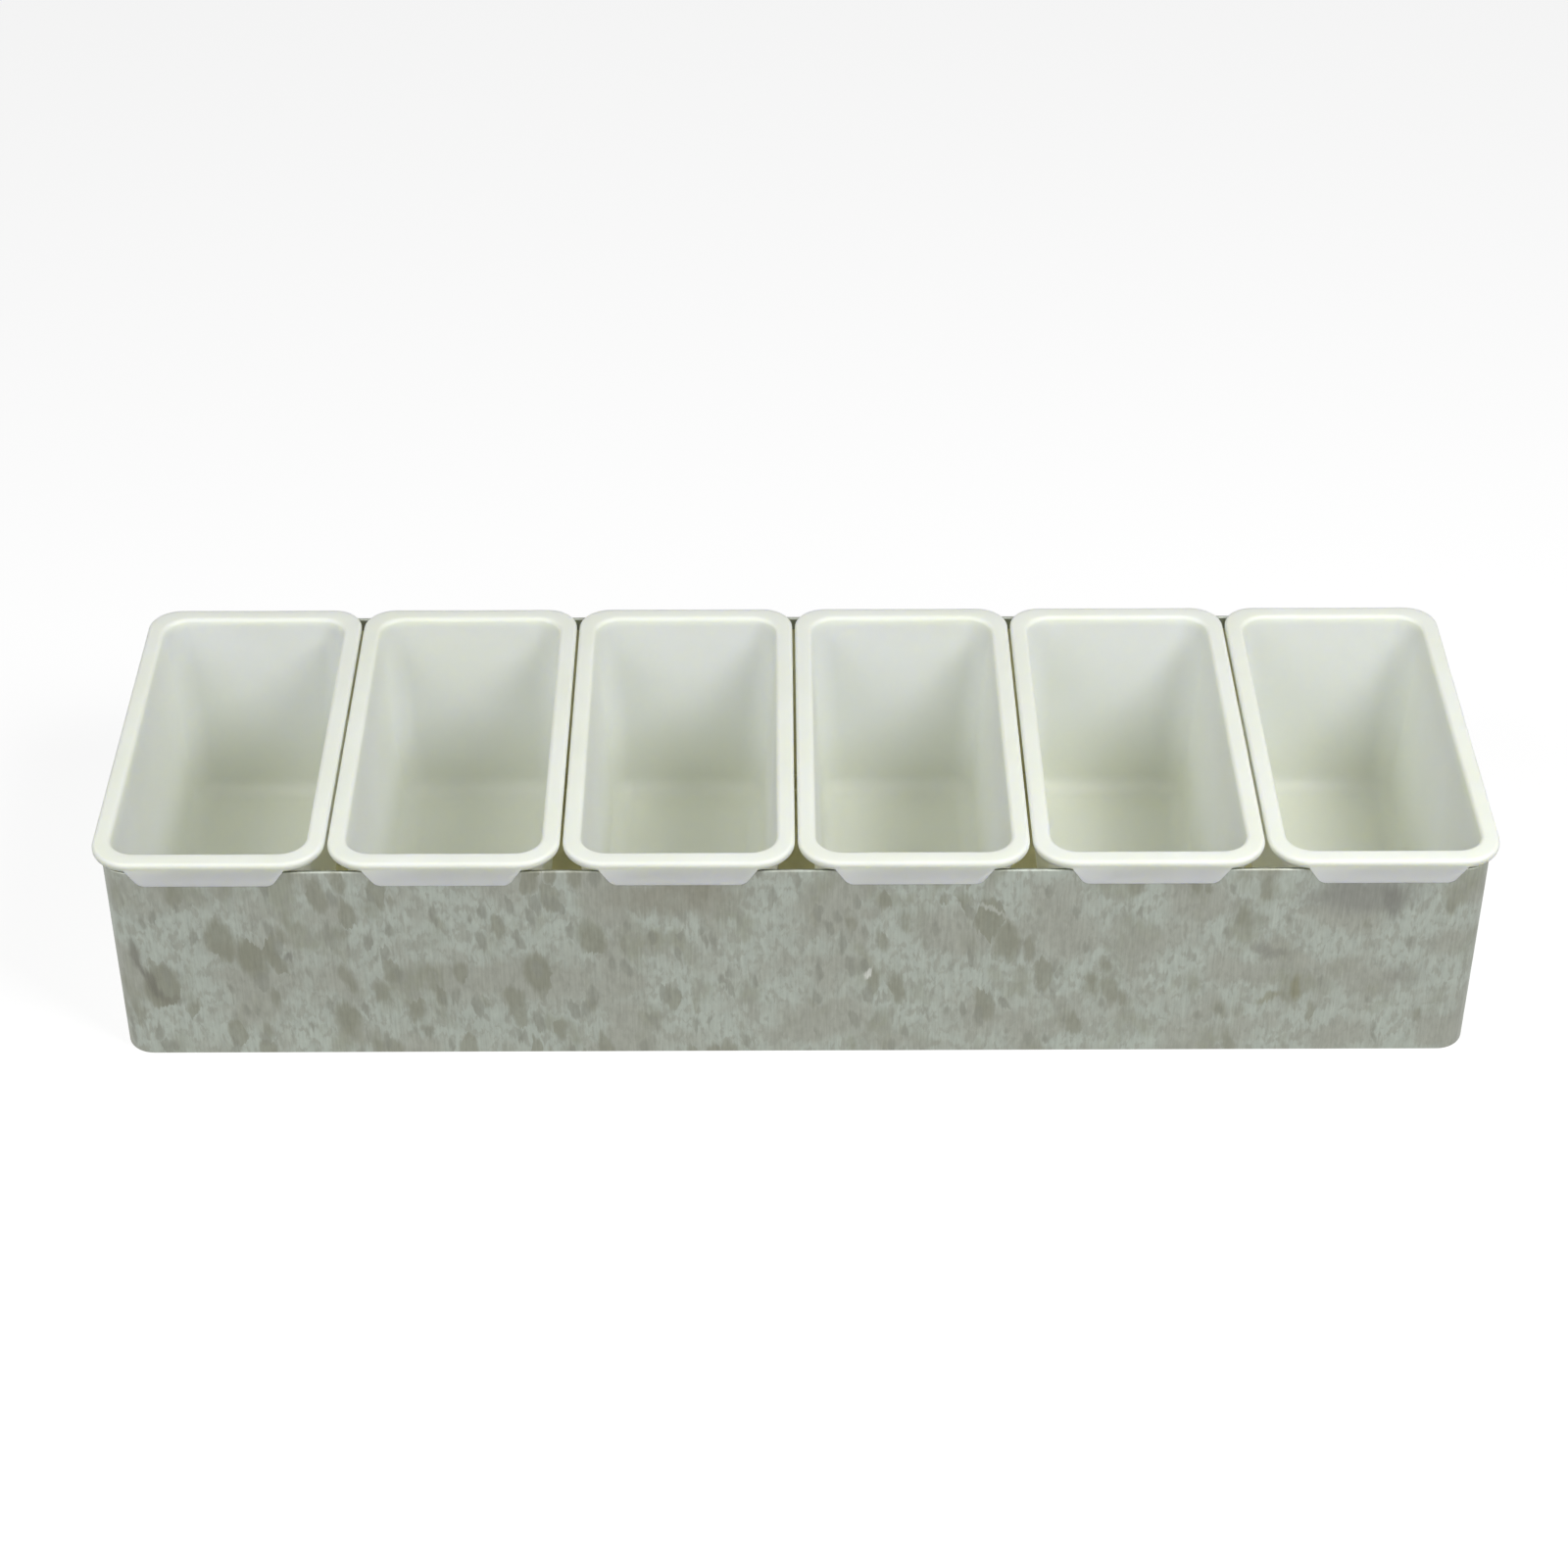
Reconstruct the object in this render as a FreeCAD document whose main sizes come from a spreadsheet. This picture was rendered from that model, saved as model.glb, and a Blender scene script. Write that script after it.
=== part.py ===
import FreeCAD, Part
import os
import Sketcher

# A bar condiment organizer: a stainless-steel trough that holds six plastic inserts side by side.
# Each insert drops in from above and hangs by its rim on the trough's hemmed edge.
# Millimetres; X runs along the trough, the inserts' tabs are at the front (-Y), Z is up.
# The origin is in the middle of the underside, on the surface that the trough stands on.

INSERT_COUNT = 6

SIZES = {
    # the steel band that makes the trough's four walls
    "trough_length": 470.0,
    "trough_depth": 152.0,
    "trough_height": 81.0,
    "trough_corner": 10.0,
    "sheet_thickness": 0.8,
    "hem_height": 5.0,
    "hem_round": 0.5,
    # the shallow pan that closes the trough's underside
    "pan_lip": 8.0,
    "pan_inner_bend": 0.8,
    "pan_clearance": 0.2,
    # the rim of an insert
    "end_overhang": 3.3,
    "back_overhang": 0.6,
    "rim_gap": 1.0,
    "rim_height": 4.8,
    "rim_corner_front": 14.0,
    "rim_corner_back": 11.0,
    "rim_top_round": 1.3,
    "rim_under_round": 1.0,
    "mouth_round": 1.6,
    # the cup of an insert
    "end_clearance": 0.3,
    "front_clearance": 2.4,
    "back_clearance": 3.5,
    "floor_gap": 6.2,
    "wall_thickness": 1.2,
    "floor_thickness": 1.4,
    "wall_draft": 3.5,
    "cup_corner": 9.0,
    "floor_round": 8.0,
    # the tab that hangs over the trough's front wall
    "tab_clearance": 0.4,
    "tab_thickness": 1.3,
    "tab_drop": 4.6,
    "tab_width": 43.5,
    "tab_slope": 41.0,
    "tab_corner": 2.5,
}

# Sizes that follow from the ones above, written as expressions on the sheet.
HALF_LENGTH = "(Sizes.trough_length / 2)"
HALF_DEPTH = "(Sizes.trough_depth / 2)"
HEM = "(2 * Sizes.sheet_thickness)"
PITCH = f"((Sizes.trough_length + 2 * Sizes.end_overhang + Sizes.rim_gap) / {INSERT_COUNT})"
END_INSERT = f"({(INSERT_COUNT - 1) / 2} * {PITCH})"
RIM_TOP = "(Sizes.trough_height + Sizes.rim_height)"
RIM_HALF_WIDTH = f"(({PITCH} - Sizes.rim_gap) / 2)"
RIM_FRONT = f"({HALF_DEPTH} + Sizes.tab_clearance + Sizes.tab_thickness)"
RIM_BACK = f"({HALF_DEPTH} + Sizes.back_overhang)"
CUP_BOTTOM = "(Sizes.sheet_thickness + Sizes.floor_gap)"
CUP_FLOOR = f"({CUP_BOTTOM} + Sizes.floor_thickness)"
# The cup's outer reach to the sides, the front and the back at the level of the trough's edge.
CUP_HALF_WIDTH = f"({HALF_LENGTH} - {HEM} - Sizes.end_clearance - {END_INSERT})"
CUP_FRONT = f"({HALF_DEPTH} - {HEM} - Sizes.front_clearance)"
CUP_BACK = f"({HALF_DEPTH} - {HEM} - Sizes.back_clearance)"

NEAR = 0.01

doc = FreeCAD.newDocument("condiment_organizer")
sheet = doc.addObject("Spreadsheet::Sheet", "Sizes")
for row, (alias, value) in enumerate(SIZES.items(), 1):
    sheet.set(f"A{row}", alias)
    sheet.set(f"B{row}", str(value))
    sheet.setAlias(f"B{row}", alias)
doc.recompute()


def new_body(label):
    body = doc.addObject("PartDesign::Body", label)
    body.Label = label
    return body


def draw_outline(body, name, role, offset, corners):
    """A closed outline of straight edges on one of the body's origin planes.

    offset moves it along the plane's normal; each corner is a pair of expressions on the sheet.
    """
    sketch = body.newObject("Sketcher::SketchObject", name)
    plane = next(item for item in body.Origin.OriginFeatures if item.Role == role)
    sketch.AttachmentSupport = [(plane, "")]
    sketch.MapMode = "FlatFace"
    sketch.setExpression("AttachmentOffset.Base.z", offset)
    count = len(corners)
    for index in range(count):
        start = FreeCAD.Vector(index, index ** 2, 0)
        after = (index + 1) % count
        sketch.addGeometry(Part.LineSegment(start, FreeCAD.Vector(after, after ** 2, 0)))
    for index in range(count):
        sketch.addConstraint(Sketcher.Constraint("Coincident", index, 2, (index + 1) % count, 1))
    for index, corner in enumerate(corners):
        for axis, expression in zip("XY", corner):
            number = sketch.addConstraint(Sketcher.Constraint(f"Distance{axis}", index, 1, 1.0))
            sketch.renameConstraint(number, f"corner_{index}_{axis}")
            sketch.setExpression(f"Constraints.corner_{index}_{axis}", expression)
    doc.recompute()
    return sketch


def draw_rectangle(body, name, height, half_width, front, back):
    """A level rectangle that is centred across the width and reaches front and back from the middle."""
    left = f"-{half_width}"
    near_side = f"-{front}"
    corners = [(left, near_side), (half_width, near_side), (half_width, back), (left, back)]
    return draw_outline(body, name, "XY_Plane", height, corners)


def add_feature(body, kind, name, sizes, **settings):
    """A feature at the body's tip, with its sizes tied to the sheet."""
    feature = body.newObject(f"PartDesign::{kind}", name)
    for key, value in settings.items():
        setattr(feature, key, value)
    for path, expression in sizes.items():
        feature.setExpression(path, expression)
    doc.recompute()
    return feature


def round_edges(body, name, radius, test):
    """Round each edge at the body's tip that passes a test."""
    base = body.Tip
    chosen = [f"Edge{number}" for number, edge in enumerate(base.Shape.Edges, 1) if test(edge)]
    return add_feature(body, "Fillet", name, {"Radius": radius}, Base=(base, chosen))


def spans(edge, low, high):
    """Whether an edge runs from one height to another."""
    heights = sorted(vertex.Z for vertex in edge.Vertexes)
    return abs(heights[0] - low) < NEAR and abs(heights[-1] - high) < NEAR


def runs_front_to_back(edge):
    """Whether an edge's two ends lie at the same place across the width."""
    return abs(edge.Vertexes[0].X - edge.Vertexes[-1].X) < NEAR


def make_wall_band():
    """The four walls: one steel strip bent round the corners, its top edge folded in as a hem."""
    body = new_body("wall_band")
    plan = draw_rectangle(body, "wall_plan", "0", HALF_LENGTH, HALF_DEPTH, HALF_DEPTH)
    add_feature(body, "Pad", "wall_block", {"Length": "Sizes.trough_height"}, Profile=plan)

    mouth_depth = f"({HALF_DEPTH} - {HEM})"
    mouth_plan = draw_rectangle(body, "mouth_plan", "Sizes.trough_height", f"({HALF_LENGTH} - {HEM})",
                                mouth_depth, mouth_depth)
    add_feature(body, "Pocket", "mouth", {"Length": "Sizes.trough_height"}, Profile=mouth_plan)
    inside_depth = f"({HALF_DEPTH} - Sizes.sheet_thickness)"
    inside_plan = draw_rectangle(body, "inside_plan", "Sizes.trough_height - Sizes.hem_height",
                                 f"({HALF_LENGTH} - Sizes.sheet_thickness)", inside_depth, inside_depth)
    add_feature(body, "Pocket", "inside", {"Length": "Sizes.trough_height - Sizes.hem_height"},
                Profile=inside_plan)

    top = mouth_plan.Placement.Base.z
    under_hem = inside_plan.Placement.Base.z
    round_edges(body, "inside_corners", "Sizes.trough_corner - Sizes.sheet_thickness",
                lambda edge: spans(edge, 0, under_hem))
    round_edges(body, "mouth_corners", f"Sizes.trough_corner - {HEM}",
                lambda edge: spans(edge, under_hem, top))
    round_edges(body, "wall_corners", "Sizes.trough_corner", lambda edge: spans(edge, 0, top))
    round_edges(body, "hem_fold", "Sizes.hem_round", lambda edge: spans(edge, top, top))
    return body


def make_base_pan():
    """The underside: a shallow steel pan whose lip stands up inside the band and is spot-welded to it."""
    body = new_body("base_pan")
    edge_inset = "(Sizes.sheet_thickness + Sizes.pan_clearance)"
    half_depth = f"({HALF_DEPTH} - {edge_inset})"
    plan = draw_rectangle(body, "pan_plan", "0", f"({HALF_LENGTH} - {edge_inset})", half_depth, half_depth)
    add_feature(body, "Pad", "pan_block", {"Length": "Sizes.pan_lip"}, Profile=plan)

    inner_inset = f"({edge_inset} + Sizes.sheet_thickness)"
    inner_depth = f"({HALF_DEPTH} - {inner_inset})"
    inner_plan = draw_rectangle(body, "pan_inner_plan", "Sizes.pan_lip", f"({HALF_LENGTH} - {inner_inset})",
                                inner_depth, inner_depth)
    add_feature(body, "Pocket", "pan_inside", {"Length": "Sizes.pan_lip - Sizes.sheet_thickness"},
                Profile=inner_plan)

    lip = SIZES["pan_lip"]
    floor = SIZES["sheet_thickness"]
    round_edges(body, "pan_inner_corners", f"Sizes.trough_corner - {inner_inset}",
                lambda edge: spans(edge, floor, lip))
    round_edges(body, "pan_corners", f"Sizes.trough_corner - {edge_inset}",
                lambda edge: spans(edge, 0, lip))
    round_edges(body, "pan_inner_bend", "Sizes.pan_inner_bend", lambda edge: spans(edge, floor, floor))
    round_edges(body, "pan_bend", "Sizes.pan_inner_bend + Sizes.sheet_thickness",
                lambda edge: spans(edge, 0, 0))
    return body


def draw_cup_plan(body, name, height, inset):
    """A rectangle across the cup at a height and a depth inside its wall, drawn in by the draft."""
    draft = f"({height} - Sizes.trough_height) * tan(Sizes.wall_draft * 1 deg)"
    reach = [f"({side} - {inset} + {draft})" for side in (CUP_HALF_WIDTH, CUP_FRONT, CUP_BACK)]
    return draw_rectangle(body, name, height, *reach)


def make_insert(number):
    """A moulded cup with drafted walls, a rounded rim that hangs on the hem, and a tab at the front."""
    body = new_body(f"insert_{number}")
    body.setExpression("Placement.Base.x", f"{number - (INSERT_COUNT + 1) / 2} * {PITCH}")

    rim_plan = draw_rectangle(body, "rim_plan", "Sizes.trough_height", RIM_HALF_WIDTH, RIM_FRONT, RIM_BACK)
    add_feature(body, "Pad", "rim", {"Length": "Sizes.rim_height"}, Profile=rim_plan)
    seat = SIZES["trough_height"]
    rim_top = seat + SIZES["rim_height"]
    round_edges(body, "rim_front_corners", "Sizes.rim_corner_front",
                lambda edge: spans(edge, seat, rim_top) and edge.CenterOfMass.y < 0)
    round_edges(body, "rim_back_corners", "Sizes.rim_corner_back",
                lambda edge: spans(edge, seat, rim_top) and edge.CenterOfMass.y > 0)
    round_edges(body, "rim_top_edge", "Sizes.rim_top_round", lambda edge: spans(edge, rim_top, rim_top))
    round_edges(body, "rim_under_edge", "Sizes.rim_under_round", lambda edge: spans(edge, seat, seat))

    cup_top = draw_cup_plan(body, "cup_top", "Sizes.trough_height", "0")
    cup_bottom = draw_cup_plan(body, "cup_bottom", CUP_BOTTOM, "0")
    add_feature(body, "AdditiveLoft", "cup", {}, Profile=cup_top, Sections=[cup_bottom], Ruled=True)
    mouth = draw_cup_plan(body, "mouth", RIM_TOP, "Sizes.wall_thickness")
    floor = draw_cup_plan(body, "floor", CUP_FLOOR, "Sizes.wall_thickness")
    add_feature(body, "SubtractiveLoft", "hollow", {}, Profile=mouth, Sections=[floor], Ruled=True)

    bottom = cup_bottom.Placement.Base.z
    inner_bottom = floor.Placement.Base.z
    opening = mouth.Shape.BoundBox
    opening.enlarge(NEAR)
    round_edges(body, "hollow_corners", "Sizes.cup_corner", lambda edge: spans(edge, inner_bottom, rim_top))
    round_edges(body, "cup_corners", "Sizes.cup_corner + Sizes.wall_thickness",
                lambda edge: spans(edge, bottom, seat))
    round_edges(body, "floor_round", "Sizes.floor_round",
                lambda edge: spans(edge, inner_bottom, inner_bottom))
    round_edges(body, "bottom_round", "Sizes.floor_round + Sizes.floor_thickness",
                lambda edge: spans(edge, bottom, bottom))
    round_edges(body, "mouth_round", "Sizes.mouth_round",
                lambda edge: spans(edge, rim_top, rim_top) and opening.isInside(edge.CenterOfMass))

    tab_low = "(Sizes.trough_height - Sizes.tab_drop)"
    tab_high = "(Sizes.trough_height + Sizes.rim_height / 2)"
    half_low = "(Sizes.tab_width / 2)"
    half_high = f"({half_low} + ({tab_high} - {tab_low}) * tan(Sizes.tab_slope * 1 deg))"
    tab_outline = draw_outline(body, "tab_outline", "XZ_Plane", f"{HALF_DEPTH} + Sizes.tab_clearance",
                               [(f"-{half_low}", tab_low), (half_low, tab_low),
                                (half_high, tab_high), (f"-{half_high}", tab_high)])
    add_feature(body, "Pad", "tab", {"Length": "Sizes.tab_thickness"}, Profile=tab_outline)
    tab_edge = tab_outline.Shape.BoundBox.ZMin
    round_edges(body, "tab_corners", "Sizes.tab_corner",
                lambda edge: spans(edge, tab_edge, tab_edge) and runs_front_to_back(edge))
    return body


bodies = [make_wall_band(), make_base_pan()]
bodies += [make_insert(number) for number in range(1, INSERT_COUNT + 1)]

for item in doc.Objects:
    if "Invalid" in item.State or "Error" in item.State:
        raise RuntimeError(f"{item.Label} failed: {item.State}")
for body in bodies:
    if body.Shape.isNull() or not body.Shape.isValid() or len(body.Shape.Solids) != 1:
        raise RuntimeError(f"{body.Label} is not one valid solid")

os.makedirs("parts", exist_ok=True)
for body in bodies:
    body.Shape.exportStep(f"parts/{body.Label}.step")
    print(body.Label, round(body.Shape.Volume), "mm3")
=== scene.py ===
import math

import bmesh
import bpy
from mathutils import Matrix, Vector, noise


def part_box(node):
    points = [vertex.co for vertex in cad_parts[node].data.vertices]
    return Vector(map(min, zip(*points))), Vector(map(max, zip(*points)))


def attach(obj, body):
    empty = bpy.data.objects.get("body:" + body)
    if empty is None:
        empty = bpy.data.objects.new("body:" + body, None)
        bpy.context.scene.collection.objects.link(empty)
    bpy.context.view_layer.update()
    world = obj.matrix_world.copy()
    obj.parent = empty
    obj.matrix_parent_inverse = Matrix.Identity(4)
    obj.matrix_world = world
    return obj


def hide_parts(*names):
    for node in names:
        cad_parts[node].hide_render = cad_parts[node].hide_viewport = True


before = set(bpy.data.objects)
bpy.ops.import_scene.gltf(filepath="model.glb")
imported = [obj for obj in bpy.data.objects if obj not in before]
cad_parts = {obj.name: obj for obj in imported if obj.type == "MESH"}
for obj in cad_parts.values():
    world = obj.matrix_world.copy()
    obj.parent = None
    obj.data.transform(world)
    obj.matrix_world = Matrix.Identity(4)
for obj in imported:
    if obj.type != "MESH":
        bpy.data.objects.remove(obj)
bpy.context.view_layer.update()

# The wall band: the trough's four walls, one strip of stainless sheet bent round the corners.
# Its top edge is folded in and down as a hem, and its ends are butt-welded behind and ground flush.
MM = 0.001
SHEET = 0.8 * MM
HEM_DROP = 5.0 * MM
BAND_CORNER = 10.0 * MM
CUT_EDGE = 0.1 * MM
FOOT_ROUND = 0.6 * MM
WAVE_DEPTH = 0.3 * MM
WAVE_LENGTH = 70.0 * MM
WAVE_FADE = 0.25
BAND_STEPS = (10, 60, 20)
BAND_LEVELS = 12
FOLD_STEPS = 8
SHARP_EDGE = math.radians(40)

band_low, band_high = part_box("wall_band")
band_half_length = (band_high.x - band_low.x) / 2
band_half_depth = (band_high.y - band_low.y) / 2
band_height = band_high.z


def rounded_ring(half_width, front, back, front_corner, back_corner, height, steps):
    """Points round a level rectangle with rounded corners, anticlockwise from the front right corner.

    steps gives the pieces that each corner, each side along X and each side along Y is cut into.
    """
    corner_steps, width_steps, depth_steps = steps
    corners = ((1, -front, front_corner), (1, back, back_corner),
               (-1, back, back_corner), (-1, -front, front_corner))
    arcs = []
    for turn, (side, reach, corner) in enumerate(corners):
        centre = Vector((side * (half_width - corner), reach - math.copysign(corner, reach), height))
        angles = [math.radians(90 * (turn - 1 + step / corner_steps)) for step in range(corner_steps + 1)]
        arcs.append([centre + corner * Vector((math.cos(a), math.sin(a), 0)) for a in angles])
    points = []
    for turn, arc in enumerate(arcs):
        following = arcs[(turn + 1) % len(arcs)][0]
        pieces = depth_steps if turn % 2 == 0 else width_steps
        points += arc
        points += [arc[-1].lerp(following, step / pieces) for step in range(1, pieces)]
    return points


def skin(name, rings, closed=False):
    """A smooth mesh over rings of equal count. closed joins the last ring to the first, and otherwise
    the first and last rings are filled in flat."""
    count = len(rings[0])
    joins = list(zip(range(len(rings) - 1), range(1, len(rings))))
    faces = []
    if closed:
        joins.append((len(rings) - 1, 0))
    else:
        faces.append([*reversed(range(count))])
        faces.append([*range((len(rings) - 1) * count, len(rings) * count)])
    for lower, upper in joins:
        for start in range(count):
            end = (start + 1) % count
            corners = ((lower, start), (lower, end), (upper, end), (upper, start))
            faces.append([ring * count + point for ring, point in corners])
    mesh = bpy.data.meshes.new(name)
    mesh.from_pydata([point for ring in rings for point in ring], [], faces)
    mesh.shade_smooth()
    mesh.set_sharp_from_angle(angle=SHARP_EDGE)
    return mesh


def band_ring(inset, height):
    """A ring of the band at a depth from its outer face, with thin sheet's slight waves between bends."""
    points = rounded_ring(band_half_length - inset, band_half_depth - inset, band_half_depth - inset,
                          BAND_CORNER - inset, BAND_CORNER - inset, height, BAND_STEPS)
    rise = math.sin(math.pi * min(max(height / band_height, 0), 1))
    for point in points:
        along = max(0, 1 - abs(point.x) / (band_half_length - BAND_CORNER))
        across = max(0, 1 - abs(point.y) / (band_half_depth - BAND_CORNER))
        wave = noise.noise(Vector((point.x, point.y, height)) / WAVE_LENGTH)
        give = WAVE_DEPTH * rise * (wave - 1) / 2
        if across == 0:
            point.y += math.copysign(give * min(1, along / WAVE_FADE), point.y)
        if along == 0:
            point.x += math.copysign(give * min(1, across / WAVE_FADE), point.x)
    return points


hem_low = band_height - HEM_DROP
levels = [level / BAND_LEVELS for level in range(BAND_LEVELS + 1)]
fold = [math.pi * step / FOLD_STEPS for step in range(FOLD_STEPS + 1)]
foot = [math.pi / 2 * step / FOLD_STEPS for step in range(FOLD_STEPS)]
band_section = [(FOOT_ROUND * (1 - math.sin(a)), FOOT_ROUND * (1 - math.cos(a))) for a in foot]
band_section += [(0, FOOT_ROUND + level * (band_height - SHEET - FOOT_ROUND)) for level in levels[:-1]]
band_section += [(SHEET - SHEET * math.cos(a), band_height - SHEET + SHEET * math.sin(a)) for a in fold]
band_section += [(2 * SHEET, hem_low + CUT_EDGE), (2 * SHEET - CUT_EDGE, hem_low),
                 (SHEET + CUT_EDGE, hem_low), (SHEET, hem_low - CUT_EDGE)]
band_section += [(SHEET, CUT_EDGE + level * (hem_low - 2 * CUT_EDGE)) for level in reversed(levels[:-1])]
band_section += [(SHEET - CUT_EDGE, 0)]
band_rings = [band_ring(inset, height) for inset, height in band_section]
band_mesh = skin("wall_band_sheet", band_rings, closed=True)


def srgb(code):
    """A colour written in sRGB hex, as the linear colour that a shader takes."""
    shares = [int(code[start:start + 2], 16) / 255 for start in (1, 3, 5)]
    linear = [share / 12.92 if share <= 0.04045 else ((share + 0.055) / 1.055) ** 2.4 for share in shares]
    return (*linear, 1.0)


def add_node(tree, kind, inputs=None, **settings):
    """A shader node with its settings, whose inputs are given values or links from other nodes' outputs.

    Inputs go by name, or by number where a node has several of one name.
    """
    node = tree.nodes.new(kind)
    for name, value in settings.items():
        setattr(node, name, value)
    for name, value in (inputs or {}).items():
        if isinstance(value, bpy.types.NodeSocket):
            tree.links.new(value, node.inputs[name])
        else:
            node.inputs[name].default_value = value
    return node


# A colour Mix node's sockets by number: its share, the colour under, the colour over it, and the result.
SHARE, UNDER, OVER, MIXED = 0, 6, 7, 2

LEAF_LEAN = math.radians(-9)


def stained_stainless():
    """Stainless sheet, brushed up and down and then stained by years of wet use: a dull satin metal, a pale
    grey-green with grey clouds, under olive leaf-shaped stains that fray along the brushing."""
    material = bpy.data.materials.new("stained_brushed_stainless")
    material.use_nodes = True
    tree = material.node_tree
    shader = tree.nodes["Principled BSDF"]
    place = add_node(tree, "ShaderNodeTexCoord").outputs["Object"]

    # Streaks a millimetre wide pull the stains' outlines up and down, and a slow wander bends them:
    # width and height in mm, and the pull each way in mm.
    strayed = place
    for width, height, pull in ((0.9, 6, (0.8, 0.8, 6.0)), (9, 13, (5.0, 5.0, 6.0))):
        grid = add_node(tree, "ShaderNodeMapping",
                        {"Vector": place, "Scale": (width * MM, width * MM, height * MM)},
                        vector_type="TEXTURE")
        stray = add_node(tree, "ShaderNodeTexNoise", {"Vector": grid.outputs[0], "Scale": 1.0})
        stray = add_node(tree, "ShaderNodeVectorMath", {0: stray.outputs["Color"], 1: (0.5, 0.5, 0.5)},
                         operation="SUBTRACT")
        stray = add_node(tree, "ShaderNodeVectorMath",
                         {0: stray.outputs[0], 1: Vector(pull) * MM, 2: strayed}, operation="MULTIPLY_ADD")
        strayed = stray.outputs[0]

    # The leaf spots are large along the left and middle of the trough and smaller at its right.
    across = add_node(tree, "ShaderNodeSeparateXYZ", {"Vector": place}).outputs["X"]
    heavy = add_node(tree, "ShaderNodeMapRange",
                     {"Value": across, "From Min": 130 * MM, "From Max": 70 * MM,
                      "To Min": -0.16, "To Max": 0.0},
                     interpolation_type="SMOOTHSTEP").outputs[0]

    # Clouds: colour, strength, width and height in mm, and the levels where each starts and is full.
    clouds = (
        ("#9EA096", 0.95, 25, 22, 0.42, 0.62),
        ("#8F9182", 0.75, 15, 21, 0.50, 0.70),
        ("#97998F", 0.70, 2.6, 4.2, 0.46, 0.64),
    )
    colour = srgb("#A9AFA6")
    for code, strength, width, height, start, full in clouds:
        grid = add_node(tree, "ShaderNodeMapping",
                        {"Vector": strayed, "Scale": (width * MM, width * MM, height * MM)},
                        vector_type="TEXTURE")
        cloud = add_node(tree, "ShaderNodeTexNoise",
                         {"Vector": grid.outputs[0], "Scale": 1.0, "Detail": 3.0}).outputs[0]
        share = add_node(tree, "ShaderNodeMapRange",
                         {"Value": cloud, "From Min": start, "From Max": full, "To Max": strength},
                         interpolation_type="SMOOTHSTEP").outputs[0]
        colour = add_node(tree, "ShaderNodeMix", {SHARE: share, UNDER: colour, OVER: srgb(code)},
                          data_type="RGBA").outputs[MIXED]

    # Leaf-shaped spots, one to a cell and each of its own size: colour, strength, the cell's width and
    # height in mm, and the biggest spot as a share of the cell.
    leaves = (
        ("#868778", 0.75, 13, 25, 0.54),
        ("#898A7C", 0.70, 7, 16, 0.57),
        ("#8B8D83", 0.68, 4.5, 11, 0.52),
    )
    for code, strength, width, height, biggest in leaves:
        grid = add_node(tree, "ShaderNodeMapping",
                        {"Vector": strayed, "Rotation": (0, LEAF_LEAN, 0),
                         "Scale": (width * MM, width * MM, height * MM)}, vector_type="TEXTURE")
        cell = add_node(tree, "ShaderNodeTexVoronoi", {"Vector": grid.outputs[0], "Scale": 1.0})
        size = add_node(tree, "ShaderNodeMapRange", {"Value": cell.outputs["Color"], "From Min": 0.25,
                                                     "From Max": 0.9, "To Max": biggest})
        size = add_node(tree, "ShaderNodeMath", {0: size.outputs[0], 1: heavy}, operation="ADD")
        depth = add_node(tree, "ShaderNodeMath", {0: size.outputs[0], 1: cell.outputs["Distance"]},
                         operation="SUBTRACT")
        share = add_node(tree, "ShaderNodeMapRange", {"Value": depth.outputs[0], "From Min": -0.05,
                                                      "From Max": 0.17, "To Max": strength},
                         interpolation_type="SMOOTHSTEP").outputs[0]
        colour = add_node(tree, "ShaderNodeMix", {SHARE: share, UNDER: colour, OVER: srgb(code)},
                          data_type="RGBA").outputs[MIXED]

    # Knocks and grime on the front, and painted shade under the tabs of the third and sixth cups: place
    # along and up, half width and half height in mm, lean in degrees, colour and strength.
    knocks_and_tab_shade = (
        (-227.0, 45, 1.8, 8, -10, "#74736A", 0.6),
        (-222.5, 32, 1.8, 9, -24, "#74736A", 0.65),
        (-216.0, 25, 5, 2, -10, "#7C7B70", 0.5),
        # painted shade under the sixth cup's tab
        (192, 70, 20, 8, 0, "#868781", 0.7),
        (203, 66, 3, 8, -12, "#7A7A74", 0.6),
        (160, 47, 4, 2.5, 30, "#84847C", 0.6),
        (165, 44, 5, 2, -20, "#84847C", 0.5),
        (173, 28, 1.8, 7, 0, "#838168", 0.6),
        (164, 24, 4, 2, -20, "#86856F", 0.55),
        (210, 34, 8, 5, 0, "#8C8C84", 0.4),
        (66, 64, 1.0, 7, -50, "#B4B7AF", 0.6),
        (24, 36, 0.9, 2.5, 25, "#CFD1CA", 0.8),
        # painted shade under the third cup's tab
        (-41, 70, 26, 8, 0, "#8E8D80", 0.65),
        (-174, 44, 1.2, 2.5, 20, "#75746C", 0.6),
    )
    for along, up, half_width, half_height, lean, code, strength in knocks_and_tab_shade:
        reach = add_node(tree, "ShaderNodeMapping",
                         {"Vector": strayed, "Location": (along * MM, -band_half_depth, up * MM),
                          "Rotation": (0, math.radians(lean), 0),
                          "Scale": (half_width * MM, band_half_depth, half_height * MM)},
                         vector_type="TEXTURE")
        reach = add_node(tree, "ShaderNodeVectorMath", {0: reach.outputs[0]}, operation="LENGTH")
        share = add_node(tree, "ShaderNodeMapRange", {"Value": reach.outputs["Value"], "From Min": 1.4,
                                                      "From Max": 0.4, "To Max": strength},
                         interpolation_type="SMOOTHSTEP").outputs[0]
        colour = add_node(tree, "ShaderNodeMix", {SHARE: share, UNDER: colour, OVER: srgb(code)},
                          data_type="RGBA").outputs[MIXED]

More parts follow.
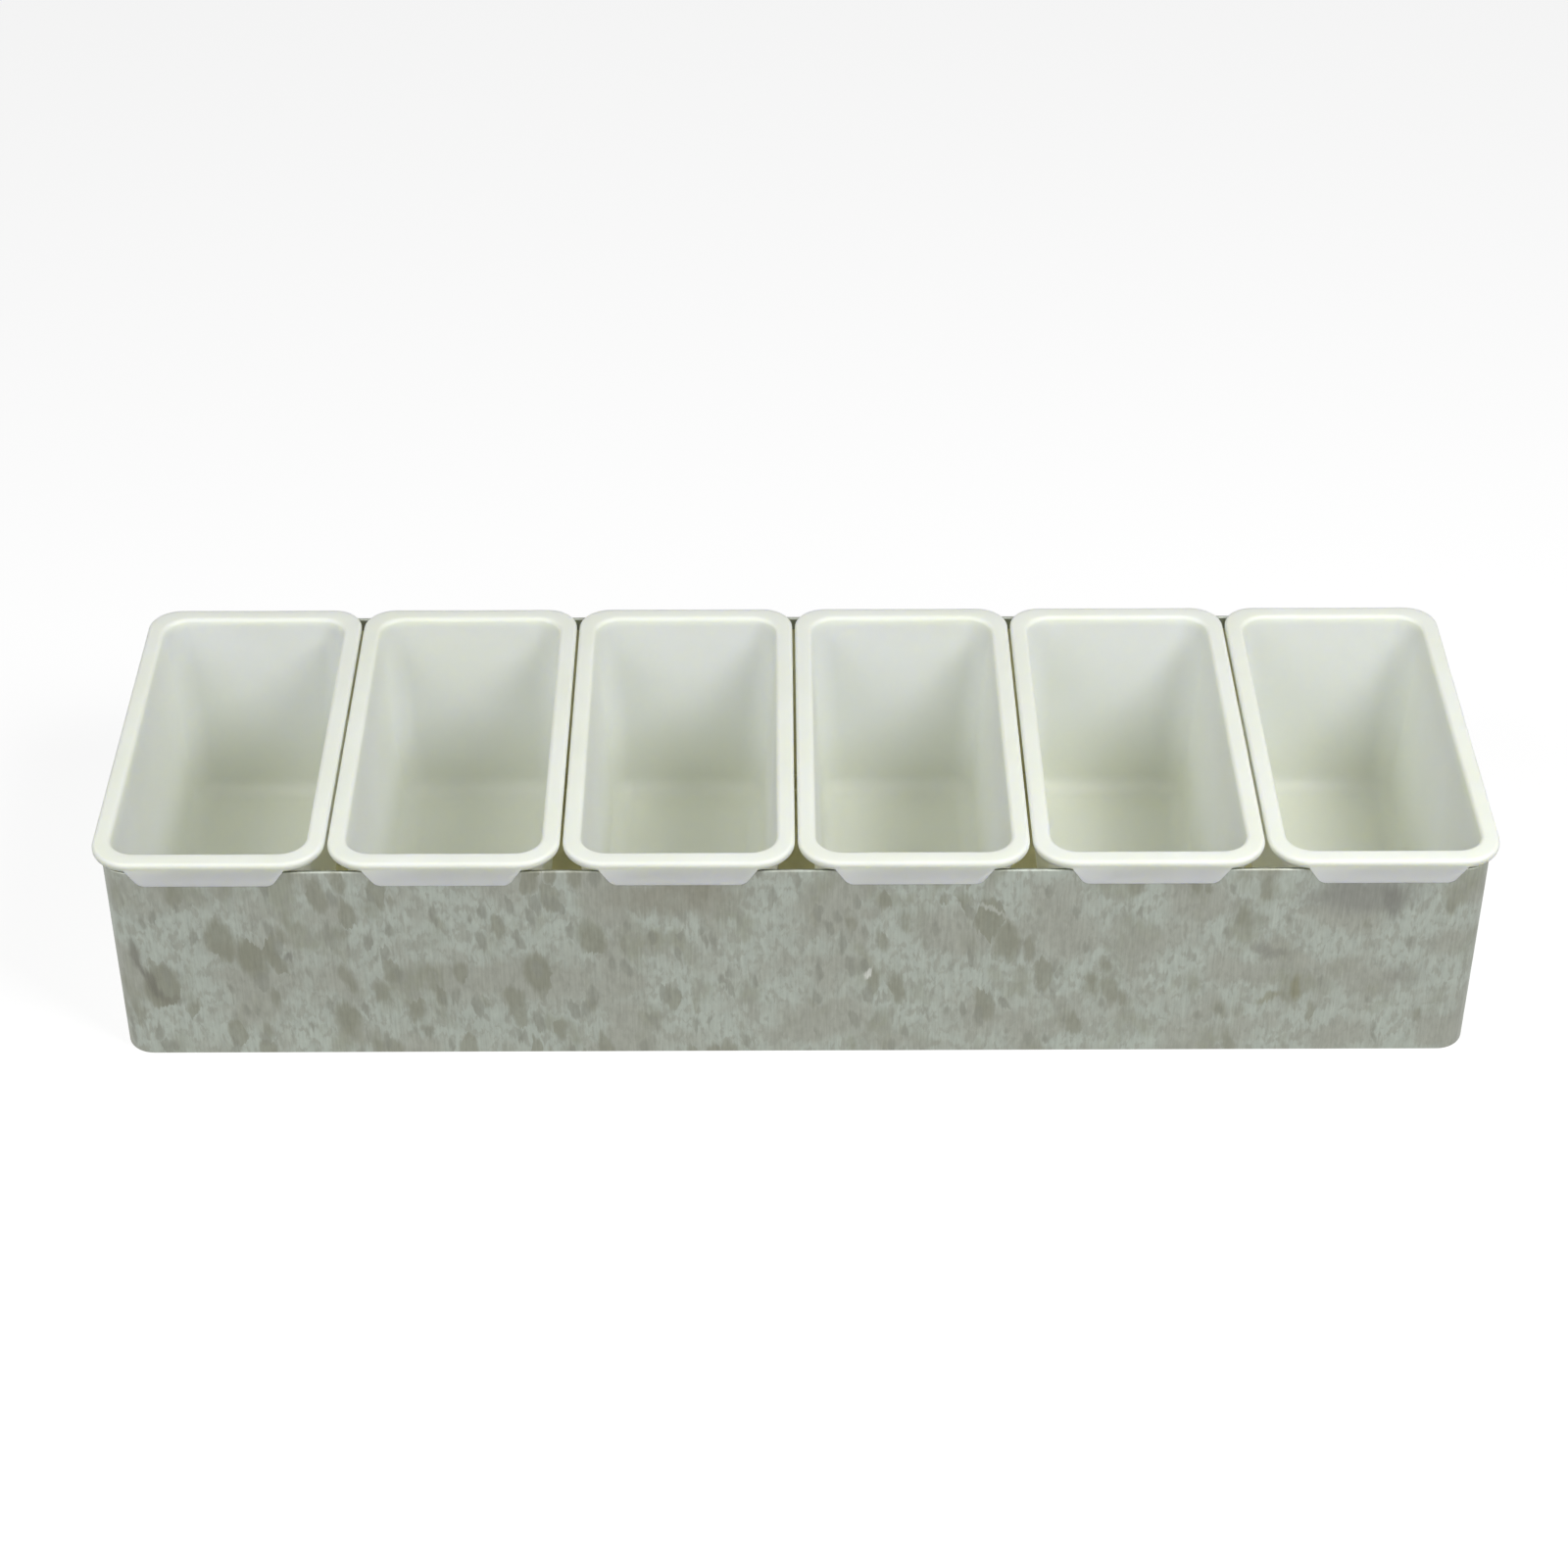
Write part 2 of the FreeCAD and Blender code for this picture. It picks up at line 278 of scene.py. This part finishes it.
    # Brush lines and grain are finer than this on the real sheet, and are drawn as wide as the render can
    # show: width and length in mm, and the darkest and palest tone. The grain, which comes last, is also
    # what makes the metal rough.
    for width, height, darkest, palest in ((0.8, 11, 0.86, 0.98), (1.5, 3.2, 0.94, 1.06)):
        grid = add_node(tree, "ShaderNodeMapping",
                        {"Vector": place, "Scale": (width * MM, width * MM, height * MM)},
                        vector_type="TEXTURE")
        lines = add_node(tree, "ShaderNodeTexNoise",
                         {"Vector": grid.outputs[0], "Scale": 1.0, "Detail": 2.0}).outputs[0]
        tone = add_node(tree, "ShaderNodeMapRange", {"Value": lines, "From Min": 0.3, "From Max": 0.7,
                                                     "To Min": darkest, "To Max": palest}).outputs[0]
        colour = add_node(tree, "ShaderNodeMix", {SHARE: 1.0, UNDER: colour, OVER: tone},
                          data_type="RGBA", blend_type="MULTIPLY").outputs[MIXED]
    rough = add_node(tree, "ShaderNodeMapRange", {"Value": lines, "From Min": 0.3, "From Max": 0.7,
                                                  "To Min": 0.42, "To Max": 0.54})
    bump = add_node(tree, "ShaderNodeBump", {"Strength": 0.15, "Distance": 0.05 * MM, "Height": lines})
    tree.links.new(colour, shader.inputs["Base Color"])
    tree.links.new(rough.outputs[0], shader.inputs["Roughness"])
    tree.links.new(bump.outputs[0], shader.inputs["Normal"])
    shader.inputs["Metallic"].default_value = 1.0
    return material


def add_piece(name, mesh, body, node, across=0):
    """A piece of the object, at a place across it, which stands for a CAD node and moves with its body."""
    piece = bpy.data.objects.new(name, mesh)
    piece.location.x = across
    bpy.context.scene.collection.objects.link(piece)
    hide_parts(node)
    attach(piece, body)


stainless = stained_stainless()
band_mesh.materials.append(stainless)
add_piece("wall_band_sheet", band_mesh, "trough", "wall_band")

# The base pan: the trough's underside, a shallow pan pressed from the same sheet.
# Its lip stands up inside the wall band and is spot-welded to it, and its underside lies on the table.
PAN_BEND = 1.6 * MM
PAN_FILL_STEP = 34.0 * MM
BEND_STEPS = 6

pan_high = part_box("base_pan")[1]
pan_half_length = pan_high.x
pan_half_depth = pan_high.y
pan_corner = BAND_CORNER - (band_half_length - pan_half_length)


def pan_ring(inset, height):
    """A ring of the pan at a distance in from the outside of its lip."""
    corner = max(pan_corner - inset, CUT_EDGE)
    return rounded_ring(pan_half_length - inset, pan_half_depth - inset, pan_half_depth - inset,
                        corner, corner, height, BAND_STEPS)


bend = [math.pi / 2 * step / BEND_STEPS for step in range(BEND_STEPS + 1)]
inner_bend = PAN_BEND - SHEET
pan_section = [(PAN_BEND + 2 * PAN_FILL_STEP, 0), (PAN_BEND + PAN_FILL_STEP, 0)]
pan_section += [(PAN_BEND * (1 - math.sin(a)), PAN_BEND * (1 - math.cos(a))) for a in bend]
pan_section += [(0, pan_high.z - CUT_EDGE), (CUT_EDGE, pan_high.z), (SHEET - CUT_EDGE, pan_high.z),
                (SHEET, pan_high.z - CUT_EDGE)]
pan_section += [(SHEET + inner_bend * (1 - math.sin(a)), SHEET + inner_bend * (1 - math.cos(a)))
                for a in reversed(bend)]
pan_section += [(PAN_BEND + PAN_FILL_STEP, SHEET), (PAN_BEND + 2 * PAN_FILL_STEP, SHEET)]
pan_mesh = skin("base_pan_sheet", [pan_ring(inset, height) for inset, height in pan_section])
pan_mesh.materials.append(stainless)
add_piece("base_pan_sheet", pan_mesh, "trough", "base_pan")

INNER_GLOW_CLOUD = 18.0 * MM


def inner_stainless_with_painted_glow():
    """The same sheet inside the trough, which the inserts keep free of stains: a satin metal painted paler
    and a faint olive yellow in soft clouds, as painted warm light from the lit cups around it."""
    material = bpy.data.materials.new("inner_stainless_painted_glow")
    material.use_nodes = True
    tree = material.node_tree
    shader = tree.nodes["Principled BSDF"]
    place = add_node(tree, "ShaderNodeTexCoord").outputs["Object"]
    cloud = add_node(tree, "ShaderNodeTexNoise",
                     {"Vector": place, "Scale": 1 / INNER_GLOW_CLOUD, "Detail": 5.0}).outputs[0]
    share = add_node(tree, "ShaderNodeMapRange",
                     {"Value": cloud, "From Min": 0.35, "From Max": 0.65}).outputs[0]
    # Painted warm light: two pale olive yellows, much paler than the sheet outside.
    colour = add_node(tree, "ShaderNodeMix", {SHARE: share, UNDER: srgb("#E1DEC6"), OVER: srgb("#D0CCB2")},
                      data_type="RGBA")
    rough = add_node(tree, "ShaderNodeMapRange", {"Value": cloud, "From Min": 0.35, "From Max": 0.65,
                                                  "To Min": 0.62, "To Max": 0.48})
    tree.links.new(colour.outputs[MIXED], shader.inputs["Base Color"])
    tree.links.new(rough.outputs[0], shader.inputs["Roughness"])
    shader.inputs["Metallic"].default_value = 1.0
    return material


# The paler metal with its painted warm light covers the pan's floor, whose faces point up, and the inner
# faces of the band below its hem.
FACES_UP = 0.5

inner_glow = inner_stainless_with_painted_glow()
for mesh in (band_mesh, pan_mesh):
    mesh.materials.append(inner_glow)
    for face in mesh.polygons:
        inside = face.normal.z > FACES_UP or face.normal.xy.dot(face.center.xy) < 0
        if inside and face.center.z < hem_low:
            face.material_index = 1

# The inserts: six loose cups that hang by their rims on the trough's edge, tabs to the front.
# Each is one injection moulding in white polypropylene, drafted to leave its mould, with soft corners.
SEAT = band_height
END_CLEAR = 0.3 * MM
FRONT_CLEAR = 2.4 * MM
BACK_CLEAR = 3.5 * MM
DRAFT = math.radians(3.5)
CUP_WALL = 1.2 * MM
CUP_FLOOR = 1.4 * MM
CUP_CORNER = 9.0 * MM
FLOOR_ROUND = 8.0 * MM
RIM_CORNER_FRONT = 14.0 * MM
RIM_CORNER_BACK = 11.0 * MM
RIM_ROUND = 1.3 * MM
RIM_CROWN = 0.1 * MM
RIM_FALL = 1.5 * MM
LIP_LIFT_FRONT = 3.0 * MM
LIP_LIFT_BACK = 0.6 * MM
LIP_UNDERCUT = 1.35
MOUTH_ROUND = 1.6 * MM
CUP_STEPS = (12, 14, 26)
WALL_LEVELS = 8
ROUND_STEPS = 10
CROWN_STEPS = 5
FLOOR_SHARES = (0.2, 0.45)

insert_low, insert_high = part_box("insert_1")
rim_half_width = (insert_high.x - insert_low.x) / 2
rim_front = -insert_low.y
rim_back = insert_high.y
rim_top = insert_high.z
cup_half_width = band_half_length - 2 * SHEET - END_CLEAR + (insert_low.x + insert_high.x) / 2
cup_front = band_half_depth - 2 * SHEET - FRONT_CLEAR
cup_back = band_half_depth - 2 * SHEET - BACK_CLEAR


def cup_ring(inset, height, wall_height=None):
    """A ring of the cup at a depth inside its outer wall, as the wall is at this height or at another."""
    lean = math.tan(DRAFT) * ((height if wall_height is None else wall_height) - SEAT) - inset
    corner = max(CUP_CORNER + CUP_WALL - inset, CUT_EDGE)
    return rounded_ring(cup_half_width + lean, cup_front + lean, cup_back + lean,
                        corner, corner, height, CUP_STEPS)


def floor_round(radius, inset, floor):
    """The cup's rings from its wall, round the bend and in to a flat floor."""
    centre = floor + radius
    rings = []
    for step in range(ROUND_STEPS + 1):
        angle = DRAFT + (math.pi / 2 - DRAFT) * step / ROUND_STEPS
        rings.append(cup_ring(inset + radius / math.cos(DRAFT) - radius * math.cos(angle),
                              centre - radius * math.sin(angle), wall_height=centre))
    for share in FLOOR_SHARES:
        rings.append(cup_ring(inset + radius / math.cos(DRAFT) + share * cup_half_width, floor,
                              wall_height=centre))
    return rings


def rim_rings():
    """The rim from its seat on the trough's edge, out under the lip, over its crown and into the mouth.

    It is highest at the front and falls a little towards the back, and its lip is thinnest at the front.
    The lip's underside reaches in by LIP_UNDERCUT times its lift over the seat.
    """
    outer = rounded_ring(rim_half_width, rim_front, rim_back,
                         RIM_CORNER_FRONT, RIM_CORNER_BACK, 0, CUP_STEPS)
    mouth = cup_ring(CUP_WALL, rim_top - MOUTH_ROUND)
    quarter = [math.pi / 2 * step / ROUND_STEPS for step in range(ROUND_STEPS + 1)]
    rings = []

    def lay(place):
        """Add a ring, whose distance in from the lip and whose height place works out at each point."""
        ring = []
        for edge, inner in zip(outer, mouth):
            inward = Vector((inner.x - edge.x, inner.y - edge.y, 0))
            crest = inward.length - MOUTH_ROUND / math.cos(DRAFT)
            backward = (edge.y + rim_front) / (rim_front + rim_back)
            lift = LIP_LIFT_FRONT + (LIP_LIFT_BACK - LIP_LIFT_FRONT) * backward
            reach, height = place(crest, lift, rim_top - RIM_FALL * backward)
            ring.append(edge + inward.normalized() * reach + Vector((0, 0, height)))
        rings.append(ring)

    def crown(reach, crest, top):
        """The height of the rim's top face, which bulges a little towards its crest."""
        return top - RIM_CROWN * (1 - min(reach / crest, 1)) ** 2

    for angle in reversed(quarter):
        lay(lambda crest, lift, top: (LIP_UNDERCUT * lift * (1 - math.cos(angle)),
                                      SEAT + lift * (1 - math.sin(angle))))
    for angle in quarter[:-1]:
        inward = RIM_ROUND * (1 - math.cos(angle))
        lay(lambda crest, lift, top: (inward,
                                      crown(inward, crest, top) - RIM_ROUND * (1 - math.sin(angle))))
    for step in range(CROWN_STEPS):
        share = step / CROWN_STEPS
        lay(lambda crest, lift, top: (RIM_ROUND * (1 - share) + crest * share,
                                      crown(RIM_ROUND * (1 - share) + crest * share, crest, top)))
    for angle in quarter:
        turn = angle * (1 - DRAFT / (math.pi / 2))
        lay(lambda crest, lift, top: (crest + MOUTH_ROUND * math.sin(turn),
                                      top - MOUTH_ROUND * (1 - math.cos(turn))))
    return rings


cup_bottom = insert_low.z
outer_round = FLOOR_ROUND + CUP_FLOOR
outer_start = cup_bottom + outer_round * (1 - math.sin(DRAFT))
inner_start = cup_bottom + CUP_FLOOR + FLOOR_ROUND * (1 - math.sin(DRAFT))
inner_end = rim_top - MOUTH_ROUND * (1 - math.sin(DRAFT))
climb = [level / WALL_LEVELS for level in range(1, WALL_LEVELS + 1)]
cup_rings = floor_round(outer_round, 0, cup_bottom)[::-1]
cup_rings += [cup_ring(0, outer_start + (SEAT - outer_start) * share) for share in climb]
cup_rings += rim_rings()
cup_rings += [cup_ring(CUP_WALL, inner_end + (inner_start - inner_end) * share) for share in climb[:-1]]
cup_rings += floor_round(FLOOR_ROUND, CUP_WALL, cup_bottom + CUP_FLOOR)

# The tab hangs flush from the lip's front edge: a thin tongue with sloping ends and rounded corners,
# which flares where it meets the lip.
TAB_CLEAR = 0.4 * MM
TAB_THICK = 1.25 * MM
TAB_DROP = 4.6 * MM
TAB_HALF_WIDTH = 22.3 * MM
TAB_SLOPE = math.radians(35)
TAB_CORNER = 4.0 * MM
TAB_SHOULDER = 2.0 * MM
TAB_ROOT = 0.4 * MM
TAB_EDGE = 0.35 * MM
TAB_EDGE_STEPS = 3
TAB_STEPS = 8


def tab_outline():
    """The right half of the tab seen from the front, from the middle of its lower edge up into the lip."""
    turn = math.pi / 2 - TAB_SLOPE
    low = SEAT - TAB_DROP
    shoulder = SEAT + LIP_LIFT_FRONT
    cut = TAB_CORNER * math.tan(turn / 2)
    flare = TAB_SHOULDER * math.tan(turn / 2)
    top_half_width = TAB_HALF_WIDTH + (shoulder - low) * math.tan(TAB_SLOPE)
    points = [(0, low)]
    for step in range(TAB_STEPS + 1):
        angle = turn * step / TAB_STEPS
        points.append((TAB_HALF_WIDTH - cut + TAB_CORNER * math.sin(angle),
                       low + TAB_CORNER * (1 - math.cos(angle))))
    for step in range(TAB_STEPS + 1):
        angle = turn * (1 - step / TAB_STEPS)
        points.append((top_half_width + flare - TAB_SHOULDER * math.sin(angle),
                       shoulder - TAB_SHOULDER * (1 - math.cos(angle))))
    points.append((points[-1][0], shoulder + TAB_ROOT))
    points.append((0, shoulder + TAB_ROOT))
    return points


def rim_recede(x):
    """How far the lip's front edge has turned back, round its corner, at a distance from the middle."""
    past = max(0, abs(x) - (rim_half_width - RIM_CORNER_FRONT))
    return RIM_CORNER_FRONT - math.sqrt(RIM_CORNER_FRONT ** 2 - past ** 2)


half = tab_outline()
outline = half + [(-x, z) for x, z in reversed(half[1:-1])]
tab = bmesh.new()
sides = []
for y in (-band_half_depth - TAB_CLEAR - TAB_THICK, -band_half_depth - TAB_CLEAR):
    sides.append([tab.verts.new((x, y + rim_recede(x), z)) for x, z in outline])
front_face = tab.faces.new(sides[0])
tab.faces.new(sides[1][::-1])
for start in range(len(outline)):
    end = (start + 1) % len(outline)
    tab.faces.new((sides[0][end], sides[0][start], sides[1][start], sides[1][end]))
bmesh.ops.bevel(tab, geom=list(front_face.edges), offset=TAB_EDGE, segments=TAB_EDGE_STEPS, profile=0.5,
                affect="EDGES")
bmesh.ops.triangulate(tab, faces=[face for face in tab.faces if len(face.verts) > 4])
tab_mesh = bpy.data.meshes.new("insert_tab")
tab.to_mesh(tab_mesh)
tab.free()


def joined(name, first, second):
    """One mesh from two that overlap."""
    pieces = [bpy.data.objects.new(name, mesh) for mesh in (first, second)]
    for piece in pieces:
        bpy.context.scene.collection.objects.link(piece)
    union = pieces[0].modifiers.new("union", "BOOLEAN")
    union.operation = "UNION"
    union.solver = "EXACT"
    union.object = pieces[1]
    shaped = pieces[0].evaluated_get(bpy.context.evaluated_depsgraph_get())
    mesh = bpy.data.meshes.new_from_object(shaped)
    mesh.name = name
    for piece in pieces:
        bpy.data.objects.remove(piece)
    return mesh


insert_mesh = joined("insert_cup", skin("insert_cup_wall", cup_rings), tab_mesh)
insert_mesh.shade_smooth()
insert_mesh.set_sharp_from_angle(angle=SHARP_EDGE)

# Each cup takes its own part of the cloudy pattern, from this many times its distance from the middle.
CUPS_APART = (3, 3, 3)
TINT_CLOUD = 40.0 * MM
OLIVE_SHADE_RISE = 40.0 * MM
RUB_GRAIN = 1.2 * MM


def moulded_polypropylene(name, pale, cloudy, radius, scale):
    """White polypropylene from a polished mould, aged to a faint green cream: satin, with a translucent
    depth, a cloudy tint and fine rubbing. radius and scale say how far light travels in it."""
    material = bpy.data.materials.new(name)
    material.use_nodes = True
    tree = material.node_tree
    shader = tree.nodes["Principled BSDF"]
    place = add_node(tree, "ShaderNodeTexCoord").outputs["Object"]
    where = add_node(tree, "ShaderNodeObjectInfo").outputs["Location"]
    apart = add_node(tree, "ShaderNodeVectorMath", {0: where, 1: CUPS_APART, 2: place},
                     operation="MULTIPLY_ADD").outputs[0]
    cloud = add_node(tree, "ShaderNodeTexNoise",
                     {"Vector": apart, "Scale": 1 / TINT_CLOUD, "Detail": 3.0}).outputs[0]
    tint = add_node(tree, "ShaderNodeMapRange",
                    {"Value": cloud, "From Min": 0.35, "From Max": 0.65}).outputs[0]
    colour = add_node(tree, "ShaderNodeMix", {SHARE: tint, UNDER: srgb(pale), OVER: srgb(cloudy)},
                      data_type="RGBA").outputs[MIXED]

    # Painted shade: the lower part of each cup is darkened to a faint olive, most at the bottom.
    up = add_node(tree, "ShaderNodeSeparateXYZ", {"Vector": place}).outputs["Z"]
    low_shade = add_node(tree, "ShaderNodeMapRange",
                     {"Value": up, "From Min": cup_bottom + OLIVE_SHADE_RISE, "From Max": cup_bottom,
                      "To Max": 0.5},
                     interpolation_type="SMOOTHSTEP").outputs[0]
    colour = add_node(tree, "ShaderNodeMix", {SHARE: low_shade, UNDER: colour, OVER: srgb("#DDDECA")},
                      data_type="RGBA").outputs[MIXED]

    # Rubbing from washing is finer on the real cups, and is drawn as coarse as the render can show.
    rub = add_node(tree, "ShaderNodeTexNoise",
                   {"Vector": apart, "Scale": 1 / RUB_GRAIN, "Detail": 3.0}).outputs[0]
    rough = add_node(tree, "ShaderNodeMapRange", {"Value": rub, "From Min": 0.3, "From Max": 0.7,
                                                  "To Min": 0.42, "To Max": 0.54})
    bump = add_node(tree, "ShaderNodeBump", {"Strength": 0.1, "Distance": 0.03 * MM, "Height": rub})
    tree.links.new(colour, shader.inputs["Base Color"])
    tree.links.new(rough.outputs[0], shader.inputs["Roughness"])
    tree.links.new(bump.outputs[0], shader.inputs["Normal"])
    shader.inputs["IOR"].default_value = 1.49
    shader.inputs["Subsurface Weight"].default_value = 1.0
    shader.inputs["Subsurface Radius"].default_value = radius
    shader.inputs["Subsurface Scale"].default_value = scale
    return material


# Light scatters further in the outside of the cups, which lie in the dark of the trough: their thin walls
# show the light inside them as a dull yellow in the gaps between the rims, and the outside's colour is
# painted a deeper yellow for that glow.
insert_mesh.materials.append(
    moulded_polypropylene("moulded_polypropylene", "#EFF3EA", "#ECF0E4", (1.0, 0.96, 0.7), 2.8 * MM))
insert_mesh.materials.append(
    moulded_polypropylene("lit_through_polypropylene", "#F1F1D8", "#EEEED2", (1.0, 0.97, 0.75), 9 * MM))
middle = Vector((0, 0, (cup_bottom + SEAT) / 2))
for face in insert_mesh.polygons:
    outside = face.normal.dot(face.center - middle) > 0
    if outside and face.center.z < SEAT and abs(face.center.y) < band_half_depth:
        face.material_index = 1
for name in sorted(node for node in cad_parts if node.startswith("insert_")):
    low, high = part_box(name)
    add_piece(f"{name}_cup", insert_mesh, name, name, across=(low.x + high.x) / 2)

# The stand for the picture: a white paper table in white surroundings, with the object's soft shadow.
# Two soft lamps light it from the front left and right, and two weak ones fill in lower down.
FLOOR_HALF = 4.0
FLOOR_GLOW = 0.81
ROOM_LIGHT = 0.16
LAMP_SPAN = 0.5

floor_mesh = bpy.data.meshes.new("floor")
floor_corners = [(x * FLOOR_HALF, y * FLOOR_HALF, 0) for x, y in ((-1, -1), (1, -1), (1, 1), (-1, 1))]
floor_mesh.from_pydata(floor_corners, [], [(0, 1, 2, 3)])
floor = bpy.data.objects.new("floor", floor_mesh)
bpy.context.scene.collection.objects.link(floor)

# The paper is a matt grey to the light, and glows up to white where it is seen.
paper = bpy.data.materials.new("white_paper")
paper.use_nodes = True
tree = paper.node_tree
tree.nodes.clear()
path = add_node(tree, "ShaderNodeLightPath")
seen = add_node(tree, "ShaderNodeMath",
                {0: path.outputs["Is Camera Ray"], 1: path.outputs["Is Glossy Ray"]}, operation="MAXIMUM")
seen = add_node(tree, "ShaderNodeMath", {0: seen.outputs[0], 1: path.outputs["Is Transmission Ray"]},
                operation="MAXIMUM")
glow = add_node(tree, "ShaderNodeMath", {0: seen.outputs[0], 1: FLOOR_GLOW}, operation="MULTIPLY")
matt = add_node(tree, "ShaderNodeBsdfDiffuse", {"Color": srgb("#8C8C8C")})
lit = add_node(tree, "ShaderNodeEmission", {"Strength": glow.outputs[0]})
both = add_node(tree, "ShaderNodeAddShader", {0: matt.outputs[0], 1: lit.outputs[0]})
add_node(tree, "ShaderNodeOutputMaterial", {"Surface": both.outputs[0]})
floor_mesh.materials.append(paper)

world = bpy.data.worlds.new("white_surroundings")
bpy.context.scene.world = world
world.use_nodes = True
tree = world.node_tree
tree.nodes.clear()
path = add_node(tree, "ShaderNodeLightPath")
seen = add_node(tree, "ShaderNodeMath",
                {0: path.outputs["Is Camera Ray"], 1: path.outputs["Is Transmission Ray"]},
                operation="MAXIMUM")
seen = add_node(tree, "ShaderNodeMath", {0: seen.outputs[0], 1: path.outputs["Is Glossy Ray"]},
                operation="MAXIMUM")
level = add_node(tree, "ShaderNodeMapRange",
                 {"Value": seen.outputs[0], "To Min": ROOM_LIGHT, "To Max": 1.0})
sky = add_node(tree, "ShaderNodeBackground", {"Color": srgb("#FFFFFF"), "Strength": level.outputs[0]})
add_node(tree, "ShaderNodeOutputWorld", {"Surface": sky.outputs[0]})

# Lamps: name, place in metres and power in watts. Each faces the middle of the table.
lamps = (
    ("left_lamp", (-0.55, -0.45, 0.85), 3.6),
    ("right_lamp", (0.55, -0.45, 0.85), 7.2),
    ("left_fill", (-0.75, -0.65, 0.55), 1.6),
    ("right_fill", (0.75, -0.65, 0.55), 0.9),
)
for name, place, watts in lamps:
    lamp_data = bpy.data.lights.new(name, "AREA")
    lamp_data.size = LAMP_SPAN
    lamp_data.energy = watts
    lamp = bpy.data.objects.new(name, lamp_data)
    lamp.location = place
    lamp.rotation_euler = (-lamp.location).to_track_quat("-Z", "Y").to_euler()
    bpy.context.scene.collection.objects.link(lamp)

# The camera stands where the photograph was taken: well in front and above, with a long lens.
# Its angles are how far it looks down and how far it is turned to the right, in degrees.
CAMERA_PLACE = (-0.0087, -0.9450, 0.7774)
CAMERA_DOWN = 37.20
CAMERA_TURN = 0.294
SENSOR_MM = 36.0
LENS_MM = 76.0

camera_data = bpy.data.cameras.new("camera")
camera_data.sensor_width = SENSOR_MM
camera_data.lens = LENS_MM
camera = bpy.data.objects.new("camera", camera_data)
camera.location = CAMERA_PLACE
camera.rotation_euler = (math.radians(90 - CAMERA_DOWN), 0, math.radians(-CAMERA_TURN))
bpy.context.scene.collection.objects.link(camera)
bpy.context.scene.camera = camera
bpy.context.scene.view_settings.view_transform = "Standard"
